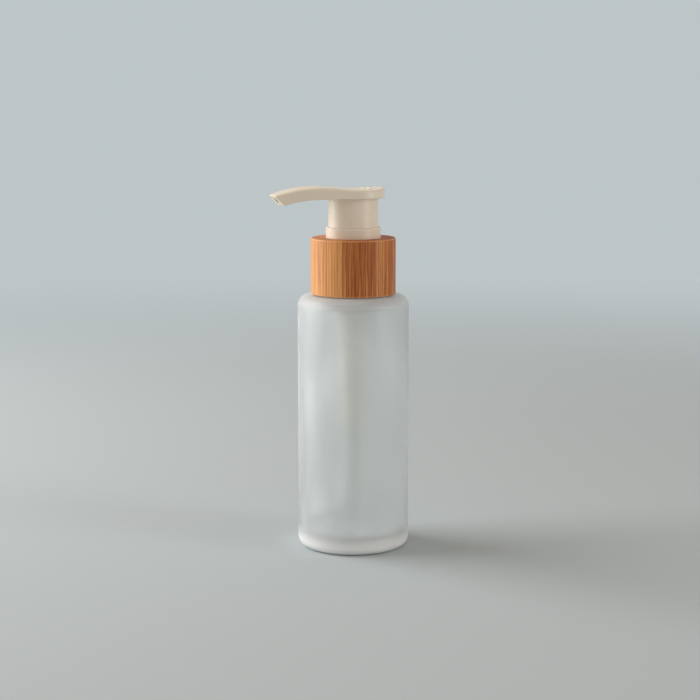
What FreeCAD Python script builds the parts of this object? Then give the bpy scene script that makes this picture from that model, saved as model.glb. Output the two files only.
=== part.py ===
"""Pump oil bottle: a frosted glass bottle with a bamboo-clad lotion pump.

Millimetres, +Z up. The origin is on the bottle's axis, in the plane that the bottle stands on.
The spout points along -X.
"""
import FreeCAD, Part
import math
import os

V = FreeCAD.Vector
ORIGIN = V(0, 0, 0)
UP = V(0, 0, 1)
FULL_TURN = 360.0

# Bottle body
BODY_DIAMETER = 44.0
BODY_HEIGHT = 101.0
BODY_WALL = 2.4
BASE_THICKNESS = 5.6
SHOULDER_THICKNESS = 3.2
BASE_ROUND = 3.4
SHOULDER_ROUND = 4.4
CHAMBER_BASE_ROUND = 3.0
CHAMBER_SHOULDER_ROUND = 2.4
FOOT_WIDTH = 4.6
PUSH_UP_DEPTH = 0.8
PUSH_UP_SLOPE = 2.0

# Bottle neck, a 24 mm single-turn screw finish
NECK_DIAMETER = 21.3
NECK_HEIGHT = 10.2
NECK_BORE = 15.6
NECK_EDGE = 0.6
THREAD_HEIGHT = 1.2
THREAD_PITCH = 3.175
THREAD_TURNS = 1.0
THREAD_START = 2.6
GLASS_THREAD_BASE = 2.1
GLASS_THREAD_CREST = 1.0
THREAD_SINK = 0.4
THREAD_PLAY = 0.2
THREAD_CLEARANCE = 0.3

# Bamboo sleeve
BAMBOO_WALL = 3.0
BAMBOO_HEIGHT = 22.1
BAMBOO_TOP = 2.6
BAMBOO_EDGE = 0.6
BAMBOO_FOOT_EDGE = 0.4
COLLAR_GAP = 0.4
GLUE_GAP = 0.05

# Screw closure inside the bamboo
CLOSURE_WALL = 1.5
CLOSURE_RECESS = 0.3
CLOSURE_THREAD_BASE = 1.5
CLOSURE_THREAD_CREST = 0.7
LIP_THICKNESS = 1.15
LIP_BEARING = 1.75
TURN_GAP = 0.05
TURN_CLEARANCE = 0.15

# Gasket and flange on the neck
GASKET_THICKNESS = 1.0
GASKET_INSET = 0.15
FLANGE_THICKNESS = 1.2

# Travel of the pump
STROKE = 10.0
PISTON_SLIP = 0.8
END_GAP = 0.2
PLATE_GAP = 0.6
TWIST_RANGE = 90.0

# Lock sleeve: ring, well, twist stops and guide barrel
RING_MARGIN = 0.15
RING_WALL = 0.8
RING_OVERLAP = 1.2
RING_LAND = 0.05
WELL_FLOOR = 0.85
BARREL_DEPTH = 10.0
TOWER_CLEARANCE = 0.55
TOWER_HEIGHT = 2.8
CROWN_WALL = 1.2
CROWN_RISE = 1.3
CROWN_CLEARANCE = 0.35
STOP_CLEARANCE = 0.3
SNAP_DROP = 5.0
SNAP_HEIGHT = 0.6
SNAP_REACH = 0.15
FIT_GAP = 0.03

# Hollow stem
STEM_DIAMETER = 7.6
STEM_BORE = 4.4
STEM_COLLAR_REACH = 0.9
STEM_COLLAR_HEIGHT = 1.15
GUIDE_CLEARANCE = 0.1
STOP_GAP = 0.05

# Piston
PISTON_HUB_HEIGHT = 4.4
PISTON_HUB_WALL = 1.0
PISTON_HUB_CLEARANCE = 0.6
PISTON_WALL = 0.8
PISTON_WEB = 1.2
PISTON_SKIRT_DROP = 1.4
PISTON_LIP = 0.8
PISTON_WAIST = 0.25
PISTON_CLEARANCE = 0.05

# Valve rod
ROD_DIAMETER = 4.0
ROD_PLUG_LENGTH = 8.0
ROD_FLANGE_MARGIN = 0.3
ROD_FLANGE_THICKNESS = 1.6
ROD_SEAT_HEIGHT = 0.8
ROD_GUIDE_LENGTH = 3.0
FLUTE_COUNT = 4
FLUTE_WIDTH = 1.1
FLUTE_DEPTH = 1.0
SEAT_GAP = 0.05

# Return spring
SPRING_DIAMETER = 8.2
SPRING_WIRE = 0.8
SPRING_LENGTH = 28.6
SPRING_TURNS = 9
SPRING_QUARTERS = 4
SPRING_END_PITCH = 1.4
SPRING_CLEARANCE = 0.4

# Pump housing
HOUSING_NECK_CLEARANCE = 0.6
HOUSING_WALL = 1.1
HOUSING_STEP = 1.6
BORE_END_GAP = 1.6
MIDDLE_WALL = 1.2
TAIL_WALL = 1.8
VENT_DIAMETER = 1.0
VENT_DROP = 0.7

# Inlet valve
BALL_DIAMETER = 4.8
BALL_LIFT = 1.2
BALL_CLEARANCE = 0.35
BALL_KEEPER = 1.0
BALL_KEEPER_REACH = 0.3
INLET_BORE = 2.8
INLET_LENGTH = 2.0

# Dip tube
TUBE_DIAMETER = 5.0
TUBE_WALL = 0.7
SOCKET_DEPTH = 9.4
TUBE_LEAD = 3.0
TUBE_BEND = 450.0
TUBE_FLOOR_GAP = 1.2
TUBE_CUT_ANGLE = 40.0
TUBE_CUT_BLOCK = 20.0

# Pump head
SKIRT_WALL = 1.2
SKIRT_CLEARANCE = 0.2
RIB_ANGLES = (90.0, 270.0)
RIB_WIDTH = 1.6
RIB_CLEARANCE = 0.3
BOSS_WALL = 1.6
BOSS_GAP = 0.4
BOSS_CEILING = 0.6
PLATE_OVERHANG = 2.6
PLATE_EDGE = 1.0
PLATE_FOOT_EDGE = 0.4
REAR_RISE = 4.3
PAD_RISE = 3.3
PAD_BACK = 1.0
HUMP_RISE = 4.5
HUMP_REACH = 15.5
NOSE_RISE = 2.95
NOSE_BACK = 4.9
SPOUT_REACH = 33.4
SPOUT_TIP_RISE = 1.5
SPOUT_TIP_WIDTH = 8.2
SPOUT_TIP_EDGE = 0.25
SPOUT_LIP_BACK = 3.6
SPOUT_LIP_DROP = 2.4
SPOUT_ROOT = 15.0
CHANNEL_DIAMETER = 2.4
CHANNEL_RISE = 1.6

# Radii worked out from the sizes above
BODY_R = BODY_DIAMETER / 2
CHAMBER_R = BODY_R - BODY_WALL
NECK_R = NECK_DIAMETER / 2
NECK_BORE_R = NECK_BORE / 2
THREAD_R = NECK_R + THREAD_HEIGHT
THREAD_ROOT_R = THREAD_R + THREAD_CLEARANCE
CLOSURE_R = THREAD_ROOT_R + CLOSURE_WALL
BAMBOO_BORE_R = CLOSURE_R + GLUE_GAP
BAMBOO_R = BAMBOO_BORE_R + BAMBOO_WALL
WIDE_R = NECK_BORE_R - HOUSING_NECK_CLEARANCE
CYLINDER_R = WIDE_R - HOUSING_WALL
LIP_HOLE_R = NECK_R - LIP_BEARING
SHOULDER_R = LIP_HOLE_R - TURN_CLEARANCE
RING_R = NECK_R + RING_MARGIN
RING_BORE_R = RING_R - RING_WALL
RING_EDGE = RING_WALL - RING_LAND
SKIRT_R = RING_BORE_R - SKIRT_CLEARANCE
SKIRT_BORE_R = SKIRT_R - SKIRT_WALL
CROWN_R = SKIRT_BORE_R - CROWN_CLEARANCE
CROWN_BORE_R = CROWN_R - CROWN_WALL
TOWER_R = CROWN_BORE_R - TOWER_CLEARANCE
STEM_R = STEM_DIAMETER / 2
STEM_BORE_R = STEM_BORE / 2
GUIDE_R = STEM_R + GUIDE_CLEARANCE
BARREL_R = CYLINDER_R - FIT_GAP
PISTON_R = CYLINDER_R - PISTON_CLEARANCE
ROD_R = ROD_DIAMETER / 2
HUB_BORE_R = ROD_R + PISTON_HUB_CLEARANCE
SPRING_R = SPRING_DIAMETER / 2
COIL_R = SPRING_R - SPRING_WIRE / 2
SPRING_BORE_R = SPRING_R + SPRING_CLEARANCE
MIDDLE_R = SPRING_BORE_R + MIDDLE_WALL
BALL_R = BALL_DIAMETER / 2
CAGE_R = BALL_R + BALL_CLEARANCE
INLET_R = INLET_BORE / 2
TUBE_R = TUBE_DIAMETER / 2
TAIL_R = max(TUBE_R, CAGE_R) + TAIL_WALL
PLATE_R = SKIRT_R + PLATE_OVERHANG
SPOUT_LIP_REACH = SPOUT_REACH - SPOUT_LIP_BACK

# Heights worked out upwards from the mouth of the bottle
LAND_Z = BODY_HEIGHT + NECK_HEIGHT
GASKET_TOP_Z = LAND_Z + GASKET_THICKNESS
FLANGE_TOP_Z = GASKET_TOP_Z + FLANGE_THICKNESS
LIP_Z = FLANGE_TOP_Z + TURN_GAP
LIP_TOP_Z = LIP_Z + LIP_THICKNESS
WELL_Z = LIP_TOP_Z + TURN_GAP
WELL_FLOOR_Z = WELL_Z + WELL_FLOOR
TOWER_TOP_Z = WELL_FLOOR_Z + TOWER_HEIGHT
TRAVEL = STROKE + PISTON_SLIP
SKIRT_Z = WELL_FLOOR_Z + END_GAP + TRAVEL
RING_TOP_Z = SKIRT_Z + RING_OVERLAP
PLATE_Z = RING_TOP_Z + TRAVEL + PLATE_GAP
BOSS_Z = TOWER_TOP_Z + TRAVEL + BOSS_GAP
BAMBOO_Z = BODY_HEIGHT + COLLAR_GAP
BAMBOO_TOP_Z = BAMBOO_Z + BAMBOO_HEIGHT
THREAD_TOP_Z = LAND_Z - THREAD_START

# Heights worked out downwards inside the pump
BARREL_Z = FLANGE_TOP_Z - BARREL_DEPTH
SNAP_Z = FLANGE_TOP_Z - SNAP_DROP
STEM_COLLAR_TOP_Z = BARREL_Z - STOP_GAP
STEM_Z = STEM_COLLAR_TOP_Z - STEM_COLLAR_HEIGHT
STEM_TOP_Z = PLATE_Z - BOSS_CEILING
HUB_TOP_Z = STEM_Z - PISTON_SLIP - STOP_GAP
HUB_Z = HUB_TOP_Z - PISTON_HUB_HEIGHT
PISTON_Z = HUB_Z - PISTON_SKIRT_DROP
SEAT_Z = HUB_Z - SEAT_GAP
ROD_FLANGE_Z = SEAT_Z - ROD_SEAT_HEIGHT - ROD_FLANGE_THICKNESS
CYLINDER_Z = PISTON_Z - TRAVEL - BORE_END_GAP
SPRING_SEAT_Z = ROD_FLANGE_Z - SPRING_LENGTH
CAGE_TOP_Z = SPRING_SEAT_Z - BALL_KEEPER
BALL_Z = CAGE_TOP_Z - END_GAP - BALL_LIFT - BALL_R
INLET_TOP_Z = BALL_Z - math.sqrt(2.0) * (BALL_R + SEAT_GAP) + INLET_R
SOCKET_TOP_Z = INLET_TOP_Z - INLET_LENGTH
TAIL_Z = SOCKET_TOP_Z - SOCKET_DEPTH


def outline(corners):
    """Closed wire through (x, z) corners in the XZ plane; a third number rounds that corner."""
    points = [V(corner[0], 0, corner[1]) for corner in corners]
    rounds = [corner[2] if len(corner) > 2 else 0.0 for corner in corners]
    edges = []
    legs = []
    for i, point in enumerate(points):
        to_last = (points[i - 1] - point).normalize()
        to_next = (points[(i + 1) % len(points)] - point).normalize()
        half = to_last.getAngle(to_next) / 2
        if rounds[i] == 0.0:
            legs.append((point, point, None))
            continue
        setback = rounds[i] / math.tan(half)
        centre = point + (to_last + to_next).normalize() * (rounds[i] / math.sin(half))
        middle = centre + (point - centre).normalize() * rounds[i]
        legs.append((point + to_last * setback, point + to_next * setback, middle))
    for i, (start, end, middle) in enumerate(legs):
        if middle is not None:
            edges.append(Part.Arc(start, middle, end).toShape())
        following = legs[(i + 1) % len(legs)][0]
        edges.append(Part.makeLine(end, following))
    return Part.Wire(edges)


def turned(corners):
    """Solid of revolution about the Z axis from (radius, z) corners."""
    return Part.Face(outline(corners)).revolve(ORIGIN, UP, FULL_TURN)


def cylinder(radius, low, high):
    """Upright cylinder on the Z axis between two heights."""
    return Part.makeCylinder(radius, high - low, V(0, 0, low))


def sector(radius, low, high, start, sweep):
    """Pie slice about the Z axis, from the angle start over sweep degrees."""
    wedge = Part.makeCylinder(radius, high - low, V(0, 0, low), UP, sweep)
    wedge.rotate(ORIGIN, UP, start)
    return wedge


def helical_ridge(root_r, crest_r, base, crest, low, turns):
    """Right-hand screw ridge: a trapezoid of the given widths carried up a helix from the height low."""
    profile = Part.makePolygon([
        V(root_r, 0, -base / 2),
        V(crest_r, 0, -crest / 2),
        V(crest_r, 0, crest / 2),
        V(root_r, 0, base / 2),
        V(root_r, 0, -base / 2),
    ])
    path = Part.makeHelix(THREAD_PITCH, THREAD_PITCH * turns, NECK_R)
    ridge = Part.Wire(path.Edges).makePipeShell([profile], True, True)
    ridge.translate(V(0, 0, low))
    return ridge


def arc_along(start, tangent, end):
    """Circular edge that leaves start along a unit tangent and arrives at end."""
    chord = end - start
    along = V(chord).normalize()
    side = (tangent - along * tangent.dot(along)).normalize()
    sagitta = chord.Length / 2 * math.tan(tangent.getAngle(along) / 2)
    return Part.Arc(start, start + chord * 0.5 + side * sagitta, end).toShape()


def biarc(start, leave, end, arrive):
    """Two tangent arcs from start to end that keep the unit tangents at both ends."""
    span = end - start
    tangents = leave + arrive
    bend = 2 * (1 - leave.dot(arrive))
    lean = span.dot(tangents)
    reach = (math.sqrt(lean * lean + bend * span.dot(span)) - lean) / bend
    joint = (start + leave * reach + end - arrive * reach) * 0.5
    second = arc_along(end, arrive * -1, joint)
    return [arc_along(start, leave, joint), second]


def bottle():
    """Glass body with a thick floor, a shallow push-up below, and the threaded neck."""
    push_up_r = BODY_R - BASE_ROUND - FOOT_WIDTH
    glass = turned([
        (0, PUSH_UP_DEPTH),
        (push_up_r - PUSH_UP_SLOPE, PUSH_UP_DEPTH),
        (push_up_r, 0),
        (BODY_R, 0, BASE_ROUND),
        (BODY_R, BODY_HEIGHT, SHOULDER_ROUND),
        (NECK_R, BODY_HEIGHT, NECK_EDGE),
        (NECK_R, LAND_Z, NECK_EDGE),
        (NECK_BORE_R, LAND_Z, NECK_EDGE),
        (NECK_BORE_R, BODY_HEIGHT - SHOULDER_THICKNESS, NECK_EDGE),
        (CHAMBER_R, BODY_HEIGHT - SHOULDER_THICKNESS, CHAMBER_SHOULDER_ROUND),
        (CHAMBER_R, BASE_THICKNESS, CHAMBER_BASE_ROUND),
        (0, BASE_THICKNESS),
    ])
    thread = helical_ridge(
        NECK_R - THREAD_SINK, THREAD_R, GLASS_THREAD_BASE, GLASS_THREAD_CREST,
        THREAD_TOP_Z - THREAD_PITCH * THREAD_TURNS, THREAD_TURNS)
    return glass.fuse(thread)


def neck_gasket():
    """Flat ring between the mouth of the bottle and the flange of the housing."""
    inner = WIDE_R + GASKET_INSET
    outer = NECK_R - GASKET_INSET
    return turned([(inner, LAND_Z), (outer, LAND_Z), (outer, GASKET_TOP_Z), (inner, GASKET_TOP_Z)])


def pump_housing():
    """Stepped pump cylinder with its flange, vents, spring seat, ball cage and tube socket."""
    keeper_r = BALL_R - BALL_KEEPER_REACH
    groove_r = CYLINDER_R + SNAP_REACH
    middle_z = SPRING_SEAT_Z - HOUSING_STEP
    wide_z = CYLINDER_Z - HOUSING_STEP
    body = turned([
        (TUBE_R, TAIL_Z),
        (TAIL_R, TAIL_Z),
        (TAIL_R, middle_z - (MIDDLE_R - TAIL_R)),
        (MIDDLE_R, middle_z),
        (MIDDLE_R, wide_z - (WIDE_R - MIDDLE_R)),
        (WIDE_R, wide_z),
        (WIDE_R, GASKET_TOP_Z),
        (NECK_R, GASKET_TOP_Z),
        (NECK_R, FLANGE_TOP_Z),
        (CYLINDER_R, FLANGE_TOP_Z),
        (CYLINDER_R, SNAP_Z + SNAP_HEIGHT),
        (groove_r, SNAP_Z),
        (CYLINDER_R, SNAP_Z - SNAP_HEIGHT),
        (CYLINDER_R, CYLINDER_Z),
        (SPRING_BORE_R, CYLINDER_Z - (CYLINDER_R - SPRING_BORE_R)),
        (SPRING_BORE_R, SPRING_SEAT_Z),
        (keeper_r, SPRING_SEAT_Z),
        (keeper_r, CAGE_TOP_Z),
        (CAGE_R, CAGE_TOP_Z),
        (CAGE_R, INLET_TOP_Z + CAGE_R - INLET_R),
        (INLET_R, INLET_TOP_Z),
        (INLET_R, SOCKET_TOP_Z),
        (TUBE_R, SOCKET_TOP_Z),
    ])
    vent_z = BARREL_Z - VENT_DROP
    vents = Part.makeCylinder(VENT_DIAMETER / 2, 2 * WIDE_R, V(0, -WIDE_R, vent_z), V(0, 1, 0))
    return body.cut(vents)


def lock_sleeve():
    """Ring above the bamboo, well for the skirt, crown with the twist stops, and guide barrel."""
    body = turned([
        (GUIDE_R, BARREL_Z),
        (BARREL_R, BARREL_Z),
        (BARREL_R, SNAP_Z - SNAP_HEIGHT),
        (BARREL_R + SNAP_REACH, SNAP_Z),
        (BARREL_R, SNAP_Z + SNAP_HEIGHT),
        (BARREL_R, FLANGE_TOP_Z),
        (SHOULDER_R, FLANGE_TOP_Z),
        (SHOULDER_R, WELL_Z),
        (RING_R, WELL_Z),
        (RING_R, RING_TOP_Z, RING_EDGE),
        (RING_BORE_R, RING_TOP_Z),
        (RING_BORE_R, WELL_FLOOR_Z),
        (TOWER_R, WELL_FLOOR_Z),
        (TOWER_R, TOWER_TOP_Z),
        (GUIDE_R, TOWER_TOP_Z),
    ])
    crown_top = SKIRT_Z + CROWN_RISE
    crown = cylinder(CROWN_R, WELL_Z, crown_top).cut(cylinder(CROWN_BORE_R, WELL_Z, crown_top))
    play = math.degrees((RIB_WIDTH / 2 + STOP_CLEARANCE) / CROWN_BORE_R)
    window = TWIST_RANGE + 2 * play
    for rib_angle in RIB_ANGLES:
        start = rib_angle - TWIST_RANGE - play
        crown = crown.cut(sector(SKIRT_R, WELL_Z, crown_top, start, window))
    return body.fuse(crown)


def screw_closure():
    """Threaded closure: its lip turns between the housing's flange and the lock sleeve."""
    foot = BAMBOO_Z + CLOSURE_RECESS
    top = BAMBOO_TOP_Z - BAMBOO_TOP - GLUE_GAP
    bay_r = RING_R + TURN_CLEARANCE
    shell = turned([
        (THREAD_ROOT_R, foot),
        (CLOSURE_R, foot),
        (CLOSURE_R, top),
        (bay_r, top),
        (bay_r, LIP_TOP_Z),
        (LIP_HOLE_R, LIP_TOP_Z),
        (LIP_HOLE_R, LIP_Z),
        (THREAD_ROOT_R, LIP_Z),
    ])
    mean_widths = (GLASS_THREAD_BASE + GLASS_THREAD_CREST + CLOSURE_THREAD_BASE + CLOSURE_THREAD_CREST) / 4
    drop = mean_widths + THREAD_PLAY
    thread = helical_ridge(
        THREAD_ROOT_R + THREAD_SINK, NECK_R + THREAD_CLEARANCE, CLOSURE_THREAD_BASE, CLOSURE_THREAD_CREST,
        THREAD_TOP_Z - THREAD_PITCH * THREAD_TURNS - drop, THREAD_TURNS)
    return shell.fuse(thread)


def bamboo_sleeve():
    """Turned bamboo cup, upside down over the closure, with a hole for the ring."""
    hole_r = RING_R + TURN_CLEARANCE
    return turned([
        (BAMBOO_BORE_R, BAMBOO_Z),
        (BAMBOO_R, BAMBOO_Z, BAMBOO_FOOT_EDGE),
        (BAMBOO_R, BAMBOO_TOP_Z, BAMBOO_EDGE),
        (hole_r, BAMBOO_TOP_Z, BAMBOO_FOOT_EDGE),
        (hole_r, BAMBOO_TOP_Z - BAMBOO_TOP),
        (BAMBOO_BORE_R, BAMBOO_TOP_Z - BAMBOO_TOP),
    ])


def plate_plan():
    """Face of the head seen from above: a round plate whose sides run straight to the spout's tip."""
    tip = V(-SPOUT_REACH, SPOUT_TIP_WIDTH / 2, 0)
    tangent_angle = math.atan2(tip.y, tip.x) - math.acos(PLATE_R / tip.Length)
    touch = V(PLATE_R * math.cos(tangent_angle), PLATE_R * math.sin(tangent_angle), 0)
    near_tip = V(tip.x, -tip.y, 0)
    near_touch = V(touch.x, -touch.y, 0)
    return Part.Face(Part.Wire([
        Part.makeLine(near_touch, near_tip),
        Part.makeLine(near_tip, tip),
        Part.makeLine(tip, touch),
        Part.Arc(touch, V(PLATE_R, 0, 0), near_touch).toShape(),
    ]))


def plate_side():
    """Face of the head seen from the side: saddle-shaped pad, hump, drooping spout, slanted mouth."""
    crest = Part.BSplineCurve()
    crest.interpolate([
        V(PLATE_R, 0, PLATE_Z + REAR_RISE),
        V(PAD_BACK, 0, PLATE_Z + PAD_RISE),
        V(-HUMP_REACH, 0, PLATE_Z + HUMP_RISE),
        V(NOSE_BACK - SPOUT_REACH, 0, PLATE_Z + NOSE_RISE),
        V(-SPOUT_REACH, 0, PLATE_Z + SPOUT_TIP_RISE),
    ])
    tip = V(-SPOUT_REACH, 0, PLATE_Z + SPOUT_TIP_RISE)
    lip = V(-SPOUT_LIP_REACH, 0, PLATE_Z - SPOUT_LIP_DROP)
    root = V(-SPOUT_ROOT, 0, PLATE_Z)
    heel = V(PLATE_R, 0, PLATE_Z)
    return Part.Face(Part.Wire([
        crest.toShape(),
        Part.makeLine(tip, lip),
        arc_along(root, V(-1, 0, 0), lip),
        Part.makeLine(root, heel),
        Part.makeLine(heel, V(PLATE_R, 0, PLATE_Z + REAR_RISE)),
    ]))


def spout_channel():
    """Round bore from above the stem to the spout's mouth: a straight run and one tangent arc."""
    height = PLATE_Z + CHANNEL_RISE
    mouth = V(
        -(SPOUT_REACH + SPOUT_LIP_REACH) / 2, 0, PLATE_Z + (SPOUT_TIP_RISE - SPOUT_LIP_DROP) / 2)
    bend = V(-SPOUT_ROOT, 0, height)
    arc = arc_along(bend, V(-1, 0, 0), mouth)
    leave = arc.tangentAt(arc.LastParameter)
    beyond = mouth + leave * CHANNEL_DIAMETER * (1 if leave.x < 0 else -1)
    path = Part.Wire([Part.makeLine(V(0, 0, height), bend), arc, Part.makeLine(mouth, beyond)])
    circle = Part.Wire(Part.makeCircle(CHANNEL_DIAMETER / 2, V(0, 0, height), V(1, 0, 0)))
    return path.makePipeShell([circle], True, False)


def top_plate():
    """Plate and spout: the plan and the side view extruded across each other, with rounded rims."""
    depth = PLATE_R + PLATE_EDGE
    plan = plate_plan()
    plan.translate(V(0, 0, PLATE_Z - SPOUT_LIP_DROP - PLATE_EDGE))
    plan = plan.extrude(V(0, 0, HUMP_RISE + SPOUT_LIP_DROP + 2 * PLATE_EDGE))
    side = plate_side()
    side.translate(V(0, -depth, 0))
    side = side.extrude(V(0, 2 * depth, 0))
    plate = plan.common(side).removeSplitter()
    plate = plate.makeFillet(PLATE_EDGE, [edge for edge in plate.Edges if on_rim(edge)])
    plate = plate.makeFillet(PLATE_FOOT_EDGE, [edge for edge in plate.Edges if on_foot(edge)])
    return plate.makeFillet(SPOUT_TIP_EDGE, [edge for edge in plate.Edges if on_tip(edge)])


def mid_point(edge):
    """Point halfway along an edge."""
    return edge.valueAt((edge.FirstParameter + edge.LastParameter) / 2)


def on_rim(edge):
    """True for an edge of the plate's upper rim, but not for the one across the spout's tip."""
    middle = mid_point(edge)
    upright = abs(edge.tangentAt(edge.FirstParameter).z) > math.cos(math.pi / 4)
    return middle.z > PLATE_Z + PAD_RISE / 2 and abs(middle.x + SPOUT_REACH) > NOSE_BACK / 2 and not upright


def on_tip(edge):
    """True for the edge across the spout's tip, between its top and its slanted mouth."""
    middle = mid_point(edge)
    return abs(middle.x + SPOUT_REACH) < FIT_GAP and abs(middle.y) < FIT_GAP


def on_foot(edge):
    """True for an edge of the plate's flat underside that runs around its rim."""
    middle = mid_point(edge)
    flat = abs(middle.z - PLATE_Z) < FIT_GAP
    return flat and math.hypot(middle.x, middle.y) > SKIRT_R and middle.x > -SPOUT_ROOT + FIT_GAP


def actuator_head():
    """Pump head: plate and spout, skirt with two twist ribs, socket for the stem, and the oil channel."""
    skirt = cylinder(SKIRT_R, SKIRT_Z, PLATE_Z).cut(cylinder(SKIRT_BORE_R, SKIRT_Z, PLATE_Z))
    boss = cylinder(STEM_R + BOSS_WALL, BOSS_Z, PLATE_Z)
    head = top_plate().fuse([skirt, boss])
    rib_r = CROWN_BORE_R + RIB_CLEARANCE
    rib_depth = SKIRT_BORE_R + SKIRT_WALL / 2 - rib_r
    for angle in RIB_ANGLES:
        rib = Part.makeBox(rib_depth, RIB_WIDTH, PLATE_Z - SKIRT_Z, V(rib_r, -RIB_WIDTH / 2, SKIRT_Z))
        rib.rotate(ORIGIN, UP, angle)
        head = head.fuse(rib)
    socket = cylinder(STEM_R, BOSS_Z, STEM_TOP_Z)
    feed = cylinder(STEM_BORE_R, STEM_TOP_Z, PLATE_Z + CHANNEL_RISE)
    return head.cut([socket, feed, spout_channel()]).removeSplitter()


def main_post():
    """Hollow stem with the collar that stops it under the guide barrel."""
    collar_r = STEM_R + STEM_COLLAR_REACH
    return turned([
        (STEM_BORE_R, STEM_Z),
        (collar_r, STEM_Z),
        (collar_r, STEM_COLLAR_TOP_Z),
        (STEM_R, STEM_COLLAR_TOP_Z),
        (STEM_R, STEM_TOP_Z),
        (STEM_BORE_R, STEM_TOP_Z),
    ])


def valve_rod():
    """Fluted rod with its plug in the stem, the seat for the piston and the flange for the spring."""
    guide_r = SPRING_R - SPRING_WIRE - SPRING_CLEARANCE
    flange_r = SPRING_R + ROD_FLANGE_MARGIN
    seat_r = HUB_BORE_R + PISTON_HUB_WALL
    plug_r = STEM_BORE_R - FIT_GAP
    plug_top = STEM_Z + ROD_PLUG_LENGTH
    rod = turned([
        (0, ROD_FLANGE_Z - ROD_GUIDE_LENGTH),
        (guide_r, ROD_FLANGE_Z - ROD_GUIDE_LENGTH),
        (guide_r, ROD_FLANGE_Z),
        (flange_r, ROD_FLANGE_Z),
        (flange_r, ROD_FLANGE_Z + ROD_FLANGE_THICKNESS),
        (seat_r, SEAT_Z),
        (ROD_R, SEAT_Z),
        (ROD_R, STEM_Z),
        (plug_r, STEM_Z),
        (plug_r, plug_top),
        (0, plug_top),
    ])
    for i in range(FLUTE_COUNT):
        flute = Part.makeBox(
            STEM_R, FLUTE_WIDTH, plug_top - SEAT_Z, V(ROD_R - FLUTE_DEPTH, -FLUTE_WIDTH / 2, SEAT_Z))
        flute.rotate(ORIGIN, UP, i * FULL_TURN / FLUTE_COUNT)
        rod = rod.cut(flute)
    return rod


def piston():
    """Soft piston: a hub on the rod, a web, and a waisted skirt with a sealing lip at each end."""
    hub_r = HUB_BORE_R + PISTON_HUB_WALL
    skirt_bore_r = PISTON_R - PISTON_WALL
    waist_r = PISTON_R - PISTON_WAIST
    web_z = (HUB_Z + HUB_TOP_Z - PISTON_WEB) / 2
    return turned([
        (HUB_BORE_R, HUB_Z),
        (hub_r, HUB_Z),
        (hub_r, web_z),
        (skirt_bore_r, web_z),
        (skirt_bore_r, PISTON_Z),
        (PISTON_R, PISTON_Z),
        (PISTON_R, PISTON_Z + PISTON_LIP),
        (waist_r, PISTON_Z + 2 * PISTON_LIP),
        (waist_r, HUB_TOP_Z - 2 * PISTON_LIP),
        (PISTON_R, HUB_TOP_Z - PISTON_LIP),
        (PISTON_R, HUB_TOP_Z),
        (skirt_bore_r, HUB_TOP_Z),
        (skirt_bore_r, web_z + PISTON_WEB),
        (hub_r, web_z + PISTON_WEB),
        (hub_r, HUB_TOP_Z),
        (HUB_BORE_R, HUB_TOP_Z),
    ])


def spring_points():
    """Quarter-turn points of the coil and their rise per radian, with a close turn at each end."""
    low = SPRING_SEAT_Z + SPRING_WIRE / 2 + SEAT_GAP
    high = ROD_FLANGE_Z - SPRING_WIRE / 2 - SEAT_GAP
    pitch = (high - low - 2 * SPRING_END_PITCH) / SPRING_TURNS
    pitches = [SPRING_END_PITCH] + [pitch] * SPRING_TURNS + [SPRING_END_PITCH]
    rises = [value / SPRING_QUARTERS for value in pitches for quarter in range(SPRING_QUARTERS)]
    step = 2 * math.pi / SPRING_QUARTERS
    points = []
    height = low
    for i in range(len(rises) + 1):
        angle = i * step
        before = rises[max(i - 1, 0)]
        after = rises[min(i, len(rises) - 1)]
        slope = (before + after) / 2 / step
        tangent = V(-COIL_R * math.sin(angle), COIL_R * math.cos(angle), slope).normalize()
        points.append((V(COIL_R * math.cos(angle), COIL_R * math.sin(angle), height), tangent))
        height += after
    return points


def return_spring():
    """Round-wire compression spring between the seat in the housing and the flange of the valve rod."""
    points = spring_points()
    edges = []
    for (start, leave), (end, arrive) in zip(points, points[1:]):
        edges += biarc(start, leave, end, arrive)
    path = Part.Wire(edges)
    start, leave = points[0]
    circle = Part.Wire(Part.makeCircle(SPRING_WIRE / 2, start, leave))
    print("least gap between turns of the spring:", round(least_turn_gap(points), 3))
    return path.makePipeShell([circle], True, False)


def least_turn_gap(points):
    """Least clear distance between points of the coil that are a turn or more apart."""
    gaps = []
    for i, (here, tangent) in enumerate(points):
        for there, other in points[i + SPRING_QUARTERS:]:
            gaps.append((there - here).Length - SPRING_WIRE)
    return min(gaps)


def inlet_ball():
    """Glass ball that rests on the cone above the inlet."""
    return Part.makeSphere(BALL_R, V(0, 0, BALL_Z))


def dip_tube():
    """Suction tube: straight in its socket, then a slight natural bend to the slanted lower end."""
    bore_r = TUBE_R - TUBE_WALL
    start_z = TAIL_Z - TUBE_LEAD
    end_z = BASE_THICKNESS + TUBE_FLOOR_GAP
    turn = math.asin((start_z - end_z) / TUBE_BEND)
    end = V(-TUBE_BEND * (1 - math.cos(turn)), 0, end_z)
    path = Part.Wire([
        Part.makeLine(V(0, 0, SOCKET_TOP_Z), V(0, 0, start_z)),
        arc_along(V(0, 0, start_z), V(0, 0, -1), end),
    ])
    walls = []
    for radius in (TUBE_R, bore_r):
        circle = Part.Wire(Part.makeCircle(radius, V(0, 0, SOCKET_TOP_Z), UP))
        walls.append(path.makePipeShell([circle], True, False))
    tube = walls[0].cut(walls[1])
    corner = V(end.x - TUBE_R, -TUBE_CUT_BLOCK / 2, end_z - TUBE_CUT_BLOCK)
    waste = Part.makeBox(TUBE_CUT_BLOCK, TUBE_CUT_BLOCK, TUBE_CUT_BLOCK, corner)
    waste.rotate(V(end.x - TUBE_R, 0, end_z), V(0, 1, 0), -TUBE_CUT_ANGLE)
    return tube.cut(waste)


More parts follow.
